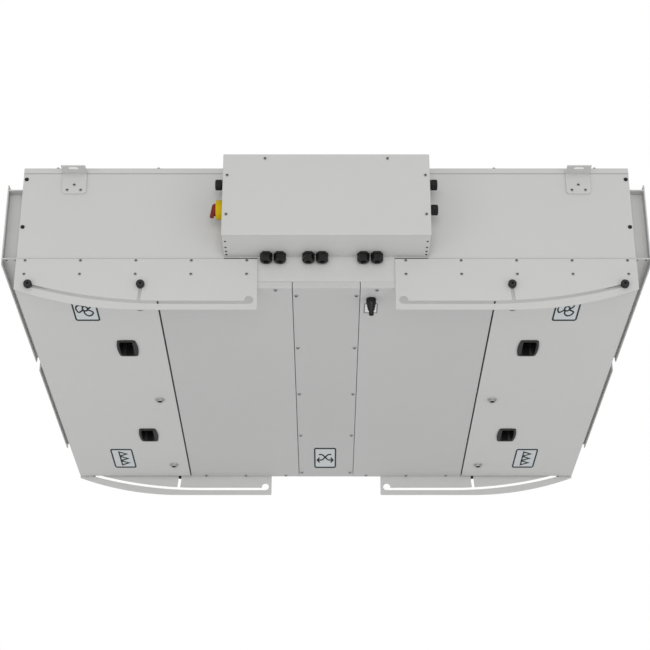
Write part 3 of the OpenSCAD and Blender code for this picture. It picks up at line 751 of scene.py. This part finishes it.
@dataclass
class Casing(SubAssembly):
    """Casing panels, with screws along the lid and under the base."""

    nodes: tuple[str, ...] = ("top_panel", "front_panel", "rear_panel", *pair("end_panel"))
    bevel: float = 0.0012
    lid_screw_xs: tuple[float, ...] = (0.417, 0.667)
    lid_screw_inset: float = 0.0052
    lid_screw: Fastener = replace(PAN_SCREW, height=0.0034)
    strip_screw_inset: float = 0.0095
    strip_screw_ends: tuple[float, float] = (0.040, 0.035)
    strip_screws: int = 5
    base_screw_xs: tuple[float, ...] = (0.122, 0.244, 0.365)
    base_screw_inset: float = 0.010
    base_screw: Fastener = PAN_SCREW

    def build(self) -> None:
        """Adds the screws of the lid and of the base."""
        low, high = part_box("top_panel")
        lid = Sketch()
        for end in (low.y + self.lid_screw_inset, high.y - self.lid_screw_inset):
            for x in self.lid_screw_xs:
                for side in (-1, 1):
                    lid.turn(self.lid_screw.rings(), facing((side * x, end, high.z), (0, 0, 1), (0, 1, 0)))
        lid.to_piece("lid_screws", (RIVET, DARK), Body.CASING)
        strip_low, strip_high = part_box("centre_panel")
        base = Sketch()
        first = strip_low.y + self.strip_screw_ends[0]
        run = (strip_high.y - self.strip_screw_ends[1] - first) / (self.strip_screws - 1)
        places = [
            (side * (strip_high.x - self.strip_screw_inset), first + run * i)
            for side in (-1, 1) for i in range(self.strip_screws)
        ]
        for end in (low.y + self.base_screw_inset, high.y - self.base_screw_inset):
            places += [(side * x, end) for side in (-1, 1) for x in self.base_screw_xs]
        for x, y in places:
            base.turn(self.base_screw.rings(), from_below((x, y, strip_low.z)))
        base.to_piece("base_screws", (RIVET, DARK), Body.CASING)


@dataclass
class BasePanels(SubAssembly):
    """Fixed panels under the casing, with a folded hem beside each door."""

    nodes: tuple[str, ...] = pair("base_panel")
    finish: Finish = BASE_PAINT
    bevel: float = 0.0012
    hem_out: float = 0.0013
    hem_in: float = 0.0014
    hem_h: float = 0.004
    hem_fold: float = 0.0005
    hem_proud: float = 0.00015
    hem_end: float = 0.001

    def build(self) -> None:
        """Adds the hems."""
        hems = Sketch()
        root, out, top = -self.hem_in, self.hem_out, self.hem_h
        outline = [(root, 0.0), (out - self.hem_fold, 0.0), (out, self.hem_fold), (out, top), (root, top)]
        for name, side in zip(self.nodes, (-1, 1)):
            low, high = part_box(name)
            edge = low.x if side < 0 else high.x
            place = on_wall((edge, low.y + self.hem_end, low.z - self.hem_proud), 1)
            place = place @ Matrix.Diagonal((-side, 1.0, 1.0, 1.0))
            hems.prism(outline, 0.0, high.y - low.y - 2 * self.hem_end, place)
        hems.to_piece("base_hems", (self.finish,), Body.CASING)


@dataclass
class GuidePlates(SubAssembly):
    """Door guide plates, riveted to the front and rear panels."""

    nodes: tuple[str, ...] = corners("guide_plate")
    rivet: Fastener = BLIND_RIVET
    columns: int = 5
    column_step: float = 0.134
    end_inset: float = 0.022
    rows: tuple[float, ...] = (0.0045, 0.0417)

    def build(self) -> None:
        """Adds the rivets of the plates."""
        rivets = Sketch()
        for name in self.nodes:
            low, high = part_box(name)
            outward = -1 if low.y < 0 else 1
            face = low.y if outward < 0 else high.y
            side = -1 if low.x < 0 else 1
            outer = max(abs(low.x), abs(high.x))
            for i in range(self.columns):
                x = side * (outer - self.end_inset - i * self.column_step)
                for drop in self.rows:
                    rivets.turn(self.rivet.rings(), on_wall((x, face, high.z - drop), outward))
        rivets.to_piece("guide_plate_rivets", (RIVET, DARK), Body.CASING)


@dataclass
class Hangers(SubAssembly):
    """Hanger brackets, each held by three rivets."""

    nodes: tuple[str, ...] = corners("hanger")
    rivet: Fastener = BLIND_RIVET
    rivet_places: tuple[Point, ...] = ((0.0, -0.033), (-0.0167, -0.048), (0.0167, -0.048))
    sheet: float = 0.003
    bevel: float = 0.001

    def build(self) -> None:
        """Adds the rivets of the brackets."""
        rivets = Sketch()
        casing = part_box("front_panel")[0].y
        for name in self.nodes:
            low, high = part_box(name)
            outward = -1 if low.y < 0 else 1
            face = outward * (abs(casing) + self.sheet)
            middle = (low.x + high.x) / 2
            for x, z in self.rivet_places:
                rivets.turn(self.rivet.rings(), on_wall((middle + x, face, high.z + z), outward))
        rivets.to_piece("hanger_rivets", (RIVET, DARK), Body.CASING)


@dataclass
class Collars(SubAssembly):
    """Duct collars at both ends, with rivets under their lower walls."""

    nodes: tuple[str, ...] = corners("duct_collar")
    bevel: float = 0.0
    rivet: Fastener = replace(BLIND_RIVET, radius=0.003, height=0.0012, hole=0.0013)
    flange_h: float = 0.016
    sheet: float = 0.003
    rivet_insets: tuple[float, ...] = (0.009, 0.031)
    rivet_edge: float = 0.006

    def build(self) -> None:
        """Adds the rivets of the collars."""
        rivets = Sketch()
        for name in self.nodes:
            low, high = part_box(name)
            side = -1 if low.x < 0 else 1
            inner = min(abs(low.x), abs(high.x))
            under = low.z + self.flange_h - self.sheet
            for inset in self.rivet_insets:
                for y in (low.y + self.rivet_edge, high.y - self.rivet_edge):
                    spot = (side * (inner + inset), y, under)
                    rivets.turn(self.rivet.rings(), from_below(spot), SMALL_SEGMENTS)
        rivets.to_piece("collar_rivets", (RIVET, DARK), Body.CASING)


def smooth(points: Sequence[Point], steps: int = 5) -> list[Point]:
    """Returns a smooth open line through points.

    Args:
        points: Points that the line passes.
        steps: Number of parts between two points.

    Returns:
        Points of the smooth line.
    """
    line = [Vector(p) for p in points]
    ends = [2 * line[0] - line[1], *line, 2 * line[-1] - line[-2]]
    found = []
    for a, b, c, d in zip(ends, ends[1:], ends[2:], ends[3:]):
        for t in (i / steps for i in range(steps)):
            bend = (2 * a - 5 * b + 4 * c - d) * t ** 2
            twist = (3 * b - a - 3 * c + d) * t ** 3
            found.append(tuple((2 * b + (c - a) * t + bend + twist) / 2))
    return [*found, tuple(line[-1])]


@dataclass(frozen=True)
class Label:
    """Pictogram label under the casing."""

    name: str
    symbol: Symbol
    centre: Point
    size: Point
    body: Body
    film: Finish = FILM
    ink: Finish = PRINT
    line: float = 0.13
    film_t: float = 0.0004
    print_t: float = 0.0002
    corner: float = 0.2
    least_corner: float = 0.02
    film_seat: float = 0.0002
    print_seat: float = 0.0001
    margin: float = 0.015
    symbol_share: float = 0.95

    def outline(self, inset: float, steps: int = 5) -> list[Point]:
        """Returns the label's rounded outline in a square from -1 to 1.

        Args:
            inset: Distance inside the label's edge.
            steps: Points in each corner.

        Returns:
            Corners in order, counter-clockwise.
        """
        r = max(self.corner - inset, self.least_corner)
        middle = 1 - inset - r
        points = []
        for i, (sx, sy) in enumerate(((1, 1), (-1, 1), (-1, -1), (1, -1))):
            for k in range(steps + 1):
                a = math.pi / 2 * (i + k / steps)
                points.append((sx * middle + r * math.cos(a), sy * middle + r * math.sin(a)))
        return points

    def lines(self) -> list[list[Point]]:
        """Returns the symbol's lines in a square from -1 to 1."""
        makers = {
            Symbol.FAN: self.fan_lines, Symbol.FILTER: self.filter_lines,
            Symbol.EXCHANGER: self.exchanger_lines, Symbol.DROP: self.drop_lines,
        }
        return makers[self.symbol]()

    @staticmethod
    def fan_lines() -> list[list[Point]]:
        """Draws a hub with three blades, a little towards the front.

        Returns:
            The lines.
        """
        rise, hub_r = 0.14, 0.2
        angles = [math.pi * i / 10 for i in range(21)]
        blade = smooth((
            (0.1, -0.2), (0.35, -0.31), (0.63, -0.2), (0.71, 0.06), (0.59, 0.32), (0.41, 0.28), (0.2, 0.12),
        ))
        lines = [[(hub_r * math.cos(a), rise + hub_r * math.sin(a)) for a in angles]]
        for turn in (math.radians(a) for a in (180, 300, 60)):
            c, d = math.cos(turn), math.sin(turn)
            lines.append([(c * x - d * y, rise + d * x + c * y) for x, y in blade])
        return lines

    @staticmethod
    def filter_lines() -> list[list[Point]]:
        """Returns three pockets side by side."""
        back, tip, half = -0.25, 0.4, 0.21
        return [
            [(back, y), (back, y + half), (tip, y), (back, y - half), (back, y)] for y in (-0.46, 0.0, 0.46)
        ]

    @staticmethod
    def exchanger_lines() -> list[list[Point]]:
        """Draws two crossing air paths with arrow heads.

        Returns:
            The lines.
        """
        path = smooth(((-0.56, 0.34), (-0.27, 0.32), (0.0, 0.08), (0.27, -0.17), (0.68, -0.2)))
        head = ((0.5, 0.04), (0.7, -0.2), (0.5, -0.44))
        return [[(side * x, y) for x, y in line] for side in (-1, 1) for line in (path, head)]

    @staticmethod
    def drop_lines() -> list[list[Point]]:
        """Draws a drop of water.

        Returns:
            The lines.
        """
        half_w, half_h = 0.4, 0.6
        angles = [math.pi * i / 12 for i in range(25)]
        return [[(half_w * math.sin(a) * math.sin(a / 2), half_h * math.cos(a)) for a in angles]]

    def build(self, under: float) -> None:
        """Adds the label.

        Args:
            under: Height of the surface that the label is on.
        """
        place = from_below((*self.centre, under))
        place = place @ Matrix.Diagonal((self.size[0] / 2, self.size[1] / 2, 1.0, 1.0))
        low, top = self.print_seat, self.film_t + self.print_t
        sketch = Sketch()
        sketch.prism(self.outline(0.0), -self.film_seat, self.film_t, place, 0)
        sketch.band(self.outline(self.margin), self.outline(self.margin + self.line), low, top, place, 1)
        for line in self.lines():
            sketch.stroke(line, self.symbol_share * self.line, low, top, place, 1)
        sketch.to_piece(self.name, (self.film, self.ink), self.body)


@dataclass
class Doors(SubAssembly):
    """The two inspection doors, with their labels."""

    nodes: tuple[str, ...] = pair("door")
    finish: Finish = DOOR_PAINT
    bevel: float = 0.0012
    pan_h: float = 0.0175
    fan_places: tuple[Point, Point] = ((-0.593, 0.1178), (0.592, 0.1178))
    fan_size: Point = (0.063, 0.120)
    filter_places: tuple[Point, Point] = ((-0.603, 1.1), (0.592, 1.1))
    filter_size: Point = (0.066, 0.153)

    def dress(self) -> None:
        """Gives the doors their paint, with painted gap shade above the pans."""
        self.finish = replace(self.finish, gap_shade_z=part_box("left_door")[0].z + self.pan_h)
        super().dress()

    def build(self) -> None:
        """Adds the labels under the doors."""
        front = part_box("front_panel")[0].y
        kinds = (
            (Symbol.FAN, self.fan_places, self.fan_size),
            (Symbol.FILTER, self.filter_places, self.filter_size),
        )
        for index, (node, body) in enumerate(zip(self.nodes, DOOR_BODIES)):
            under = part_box(node)[0].z
            for symbol, places, size in kinds:
                x, y = places[index]
                Label(f"{node}_{symbol.value}_label", symbol, (x, front + y), size, body).build(under)


@dataclass
class Locks(SubAssembly):
    """Turn locks of the doors, with black cores in their sockets whose matte near black also paints the
    sockets' shade.
    """

    nodes: tuple[str, ...] = pair("door_locks")
    finish: Finish = STEEL
    bevel: float = 0.0006
    place_ys: tuple[float, ...] = (-0.525, 0.039, 0.525)
    socket_depth: float = 0.006
    core_r: float = 0.0059
    core_h: float = 0.0056
    core_seat: float = 0.0002
    drive_r: float = 0.0026
    drive_sides: int = 3

    def rings(self) -> list[Ring]:
        """Returns a core's rings from its seat to its sunk drive."""
        r, h, drive = self.core_r, self.core_h, self.drive_r
        return [
            Ring(r, -self.core_seat), Ring(r, 0.8 * h), Ring(0.86 * r, h), Ring(1.2 * drive, h),
            Ring(drive, 0.96 * h, self.drive_sides), Ring(0.95 * drive, 0.3 * h, self.drive_sides),
        ]

    def build(self) -> None:
        """Adds the cores."""
        for name, body in zip(self.nodes, DOOR_BODIES):
            low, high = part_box(name)
            cores = Sketch()
            for y in self.place_ys:
                spot = ((low.x + high.x) / 2, y, low.z + self.socket_depth)
                cores.turn(self.rings(), from_below(spot))
            cores.to_piece(name.replace("locks", "lock_cores"), (CORE,), body)


@dataclass
class BaseLabels(SubAssembly):
    """Labels under the fixed base panels."""

    exchanger_place: Point = (-0.0027, 1.0967)
    exchanger_size: Point = (0.0665, 0.164)
    drop_place: Point = (0.109, 0.107)
    drop_size: Point = (0.034, 0.054)
    drop_line: float = 0.14
    drop_corner: float = 0.16

    def build(self) -> None:
        """Adds the exchanger's and the drain's labels."""
        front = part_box("front_panel")[0].y
        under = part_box("centre_panel")[0].z
        x, y = self.exchanger_place
        exchanger = Label(
            "exchanger_label", Symbol.EXCHANGER, (x, front + y), self.exchanger_size, Body.CASING
        )
        x, y = self.drop_place
        drain = Label(
            "drain_label", Symbol.DROP, (x, front + y), self.drop_size, Body.CASING, WHITE_FILM, GREY_PRINT,
            self.drop_line, corner=self.drop_corner,
        )
        for label in (exchanger, drain):
            label.build(under)


@dataclass
class ControlBox(SubAssembly):
    """Control box on the front, with its cover screws and the small rivets under it."""

    nodes: tuple[str, ...] = ("control_box", "control_box_cover")
    bevel: float = 0.0015
    screw: Fastener = replace(PAN_SCREW, radius=0.0036, height=0.0022, hole=0.0018)
    top_screw_x: float = 0.148
    top_screw_drop: float = 0.0125
    side_screw_inset: float = 0.0105
    side_screw_zs: tuple[float, ...] = (0.0555, 0.1635)
    rivet: Fastener = replace(BLIND_RIVET, radius=0.0028, height=0.001, hole=0.0014)
    rivet_inset: float = 0.006
    rivet_ys: tuple[float, ...] = (-0.076, -0.047, -0.027, -0.0115)

    def build(self) -> None:
        """Adds the screws and rivets."""
        low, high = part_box("control_box_cover")
        screws = Sketch()
        places = [(side * self.top_screw_x, high.z - self.top_screw_drop) for side in (-1, 1)]
        reach = high.x - self.side_screw_inset
        places += [(side * reach, low.z + z) for side in (-1, 1) for z in self.side_screw_zs]
        for x, z in places:
            screws.turn(self.screw.rings(), on_wall((x, low.y, z), -1))
        screws.to_piece("cover_screws", (RIVET, DARK), Body.CASING)
        tray_low, tray_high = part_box("control_box")
        rivets = Sketch()
        for side in (-1, 1):
            for y in self.rivet_ys:
                spot = (side * (tray_high.x - self.rivet_inset), tray_high.y + y, tray_low.z)
                rivets.turn(self.rivet.rings(), from_below(spot), SMALL_SEGMENTS)
        # Dark heads, with holes painted near black as painted shade.
        rivets.to_piece("box_rivets", (DARK, CORE), Body.CASING)


@dataclass
class ShadowBeads(SubAssembly):
    """Grey beads under the lid and on the guide plates, and a near-black strip where the control box is,
    that paint the shadow lines along these joints.
    """

    plates: tuple[str, ...] = GuidePlates.nodes
    lid_rim: float = 0.016
    bead_h: float = 0.0006
    bead_t: float = 0.003
    proud: float = 0.0002
    plate_bead_h: float = 0.001
    box_shadow_h: float = 0.0026
    edge: float = 0.0008

    def build(self) -> None:
        """Adds the painted shadow beads and the near-black strip."""
        low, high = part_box("top_panel")
        joint = high.z - self.lid_rim
        shadow_beads = Sketch()
        outlines = [
            self.rectangle(low.x + inset, low.y + inset, high.x - inset, high.y - inset)
            for inset in (-self.proud, self.bead_t)
        ]
        shadow_beads.band(*outlines, joint, joint + self.bead_h, Matrix.Identity(4))
        for name in self.plates:
            self.shade_plate_edge(shadow_beads, name)
        shadow_beads.to_piece("casing_shadow_beads", (SHADOW_BEAD, GAP_SHADE), Body.CASING)

    def shade_plate_edge(self, shadow_beads: Sketch, name: str) -> None:
        """Adds the painted shadow bead on one guide plate's upper edge, near black under the control box.

        Args:
            shadow_beads: Sketch that the bead goes into.
            name: Node of the plate.
        """
        low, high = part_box(name)
        near, far = sorted((low.y, high.y), key=abs)
        y0, y1 = sorted((near, far - math.copysign(self.edge, far)))
        side = math.copysign(1.0, low.x)
        inner, outer = sorted((abs(low.x), abs(high.x)))
        parts = [(inner, outer, self.plate_bead_h, 0)]
        # Under the control box the strip is taller and near black: painted shadow of the gap between box and
        # plate.
        if far < 0:
            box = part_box("control_box")[1].x
            parts = [(inner, box, self.box_shadow_h, 1), (box, outer, self.plate_bead_h, 0)]
        for start, end, rise, finish in parts:
            x0, x1 = sorted((side * start, side * end))
            strip = self.rectangle(x0, y0, x1, y1)
            shadow_beads.prism(strip, high.z - self.edge, high.z + rise, Matrix.Identity(4), finish)

    @staticmethod
    def rectangle(x0: float, y0: float, x1: float, y1: float) -> list[Point]:
        """Returns a rectangle's corners, counter-clockwise."""
        return [(x0, y0), (x1, y0), (x1, y1), (x0, y1)]


@dataclass
class Knobs(SubAssembly):
    """Pins of the doors, with a ring let into each knob's face round a socket whose floor is painted near
    black as painted shade.
    """

    nodes: tuple[str, ...] = pair("door_pins")
    finish: Finish = KNOB
    bevel: float = 0.0005
    knob_r: float = 0.010
    ring_rs: tuple[float, float] = (0.0046, 0.0074)
    ring_zs: tuple[float, float] = (-0.0016, -0.0003)
    socket_r: float = 0.0024
    socket_sides: int = 6
    socket_zs: tuple[float, float] = (-0.005, -0.0012)

    def build(self) -> None:
        """Adds the rings and the sockets' floors, painted near black as painted shade."""
        inner, outer = self.ring_rs
        sunk, proud = self.ring_zs
        ring = [Ring(inner, sunk), Ring(outer, sunk), Ring(outer, proud), Ring(inner, proud)]
        socket = [Ring(self.socket_r, z, self.socket_sides, 1) for z in self.socket_zs]
        for name, body in zip(self.nodes, DOOR_BODIES):
            low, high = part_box(name)
            inlays = Sketch()
            for x in (low.x + self.knob_r, high.x - self.knob_r):
                for face, outward in ((low.y, -1), (high.y, 1)):
                    place = on_wall((x, face, (low.z + high.z) / 2), outward)
                    inlays.turn(ring, place, hollow=True)
                    inlays.turn(socket, place)
            inlays.to_piece(name.replace("pins", "knob_inlays"), (INLAY, CORE), body)


@dataclass
class Drain(SubAssembly):
    """Drain under the base, with sharp rims round its barbs."""

    nodes: tuple[str, ...] = ("drain_stub",)
    finish: Finish = PLASTIC
    bevel: float = 0.0005
    nut_h: float = 0.013
    barb_h: float = 0.0065
    rim_rs: tuple[float, ...] = (0.0116, 0.0104, 0.009)
    rim_wall: float = 0.0045
    rim_fall: float = 0.0024
    rim_edge: float = 0.0012
    rim_h: float = 0.0056

    def build(self) -> None:
        """Adds the rims."""
        low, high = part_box("drain_stub")
        rims = Sketch()
        for i, r in enumerate(self.rim_rs):
            inner = r - self.rim_wall
            spot = ((low.x + high.x) / 2, (low.y + high.y) / 2, high.z - self.nut_h - i * self.barb_h)
            rings = [
                Ring(inner, 0.0), Ring(r, 0.0), Ring(r, self.rim_edge), Ring(r - self.rim_fall, self.rim_h),
                Ring(inner, self.rim_h),
            ]
            rims.turn(rings, from_below(spot), hollow=True)
        rims.to_piece("drain_rims", (PLASTIC,), Body.CASING)


@dataclass(frozen=True)
class Lamp:
    """Soft square lamp that points at the casing and stays out of the picture."""

    name: str
    spot: Spot
    watts: float
    size: float
    target: Spot = (0.0, 0.0, -0.15)

    def build(self) -> None:
        """Adds the lamp to the scene."""
        lamp = bpy.data.lights.new(self.name, "AREA")
        lamp.energy = self.watts
        lamp.size = self.size
        holder = bpy.data.objects.new(self.name, lamp)
        holder.location = self.spot
        aim = Vector(self.target) - Vector(self.spot)
        holder.rotation_euler = aim.to_track_quat("-Z", "Y").to_euler()
        holder.visible_camera = False
        bpy.context.scene.collection.objects.link(holder)


@dataclass
class Studio:
    """Camera, light and floor."""

    eye: Spot = (-0.0031, -4.259, -2.206)
    tilt: float = 26.2
    lens: float = 94.49
    sensor: float = 36.0
    floor_z: float = -4.0
    floor_half: float = 14.0
    floor_t: float = 0.02
    glow: float = 0.65
    lamps: tuple[Lamp, ...] = (
        Lamp("front", (0.0, -9.6, -1.85), 268.0, 4.0),
        Lamp("left_corner", (-3.4, -4.2, -2.8), 25.0, 2.5),
        Lamp("right_corner", (3.4, -4.2, -2.8), 25.0, 2.5),
        Lamp("left_low", (-3.8, -0.5, -2.6), 25.0, 2.5),
        Lamp("right_low", (3.8, -0.5, -2.6), 25.0, 2.5),
        Lamp("overhead", (0.0, 0.6, 3.4), 24.0, 3.0),
        Lamp("rear", (0.0, 4.6, 0.9), 36.0, 3.0),
    )

    def build(self) -> None:
        """Adds the camera, the light and the floor."""
        bpy.context.scene.view_settings.view_transform = "Standard"
        self.camera()
        self.surround()
        for lamp in self.lamps:
            lamp.build()
        self.floor()
        LOG.info("studio: camera, %d lamps and floor", len(self.lamps))

    def camera(self) -> None:
        """Adds the camera."""
        camera = bpy.data.cameras.new("camera")
        camera.lens = self.lens
        camera.sensor_width = self.sensor
        eye = bpy.data.objects.new("camera", camera)
        eye.location = self.eye
        eye.rotation_euler = (math.radians(90 + self.tilt), 0, 0)
        bpy.context.scene.collection.objects.link(eye)
        bpy.context.scene.camera = eye

    def surround(self) -> None:
        """Adds white surroundings that shine less on the casing than they show."""
        world = bpy.data.worlds.new("studio")
        world.use_nodes = True
        world.node_tree.nodes.clear()
        wiring = Wiring(world.node_tree)
        seen = wiring.add("ShaderNodeLightPath").outputs["Is Camera Ray"]
        strength = wiring.spread(seen, self.glow, 1.0)
        back = wiring.add("ShaderNodeBackground", {"Color": rgba((1.0, 1.0, 1.0)), "Strength": strength})
        wiring.add("ShaderNodeOutputWorld", {"Surface": back.outputs[0]})
        bpy.context.scene.world = world

    def floor(self) -> None:
        """Adds the floor."""
        half = self.floor_half
        square = [(-half, -half), (half, -half), (half, half), (-half, half)]
        sketch = Sketch()
        sketch.prism(square, -self.floor_t, 0.0, Matrix.Translation((0, 0, self.floor_z)))
        floor = sketch.to_scene("floor", (FLOOR,))


def assemblies() -> list[SubAssembly]:
    """Returns the unit's sub-assemblies in building order."""
    return [
        Casing(),
        BasePanels(),
        SubAssembly(("centre_panel",), STRIP_PAINT, 0.0012),
        # The mullions are painted near black, as painted shade in the door gaps.
        SubAssembly(pair("mullion"), GAP_SHADE),
        GuidePlates(),
        Hangers(),
        Collars(),
        Doors(),
        BaseLabels(),
        ControlBox(),
        ShadowBeads(),
        SubAssembly(pair("door_handles"), PLASTIC),
        Knobs(),
        Drain(),
        SubAssembly(("lower_cable_glands", "side_cable_glands", "panel_caps"), PLASTIC, 0.0005),
        Locks(),
        SubAssembly(("isolator_base",), YELLOW, 0.0015),
        SubAssembly(("isolator_handle",), RED, 0.0015),
        SubAssembly(pair("filter"), CLOTH, 0.0005),
        SubAssembly(pair("fan"), ZINC, 0.0005),
        SubAssembly(("heat_exchanger",), PLATES, 0.001),
    ]


def main() -> None:
    """Dresses the frame, adds the pieces and sets up the studio."""
    logging.basicConfig(level=logging.INFO, format="%(name)s: %(message)s")
    for assembly in assemblies():
        assembly.dress()
        assembly.build()
    Studio().build()


if __name__ == "__main__":
    main()
